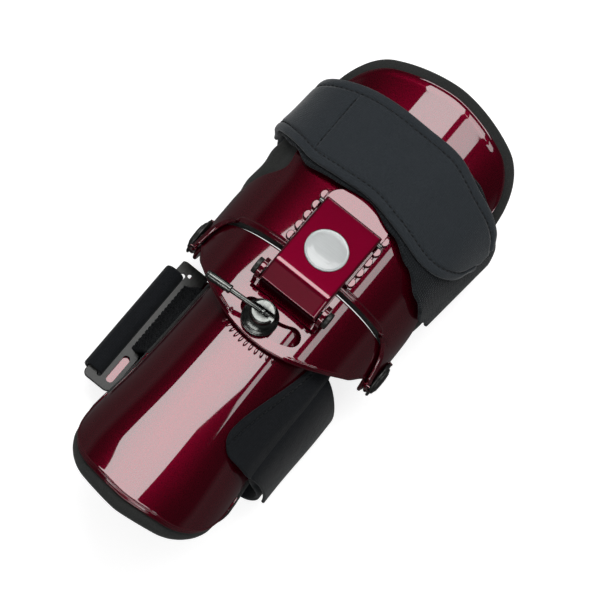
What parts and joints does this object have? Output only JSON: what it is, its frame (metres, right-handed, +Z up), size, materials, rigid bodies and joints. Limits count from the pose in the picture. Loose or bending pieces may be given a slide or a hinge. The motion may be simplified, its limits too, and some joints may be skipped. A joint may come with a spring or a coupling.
{
  "type": "bowling wrist support glove",
  "caption": "Bowling glove of the wrist support kind: hinged red metal forearm and hand shells with foam pads, latch block, clamp knob and straps, lying crown up.",
  "frame": {"origin": "middle of the whole part's footprint, on the surface that it lies on", "axes": "+Y towards the elbow, -Y towards the fingers, +X across, away from the palm bracket, +Z up"},
  "size_m": [0.121, 0.269, 0.0837],
  "materials": {
    "red_metal": "deep candy red over polished metal, glossy clear coat",
    "foam": "matt closed-cell foam with fine grain",
    "strap": "brushed loop cloth with stitched edges",
    "mesh": "spacer mesh with open cells",
    "black_steel": "satin black coating",
    "gunmetal": "dark nickel plating",
    "badge": "bare silver disc under clear resin"
  },
  "bodies": {
    "forearm": {"forearm_shell": "red_metal", "forearm_pad": "foam", "rack": "red_metal", "forearm_strap": "strap", "strap_flap": "strap", "rivet_left": "black_steel", "rivet_right": "black_steel"},
    "wrist": {"saddle": "red_metal", "lug_bracket": "red_metal", "cross_bolt": "black_steel"},
    "latch": {"latch_block": "red_metal", "latch_pin": "gunmetal", "badge": "badge"},
    "hand": {"hand_shell": "red_metal", "hand_pad": "foam", "pivot_stud": "gunmetal", "clamp_stud": "gunmetal", "palm_bracket": "black_steel", "mesh_pad": "mesh", "palm_strap": "strap", "palm_flap": "strap"},
    "knob": {"knob": "gunmetal", "lever_rod": "gunmetal", "lever_grip": "gunmetal"}
  },
  "joints": [
    {"name": "wrist_cup", "type": "hinge", "parent": "forearm", "child": "wrist", "pos_m": [-0.00034, 0.005, 0.03], "axis": [1, 0, 0], "range_deg": [0, 28.5]},
    {"name": "latch_lift", "type": "hinge", "parent": "wrist", "child": "latch", "pos_m": [-0.00034, -0.0026, 0.073], "axis": [1, 0, 0], "range_deg": [0, 60]},
    {"name": "hand_swing", "type": "hinge", "parent": "wrist", "child": "hand", "pos_m": [-0.00034, 0.004, 0.0672], "axis": [0, 0, 1], "range_deg": [-12, 12]},
    {"name": "knob_turn", "type": "hinge", "parent": "hand", "child": "knob", "pos_m": [-0.00493, -0.02078, 0.0672], "axis": [0, 0, 1], "range_deg": [-15, 140]}
  ]
}
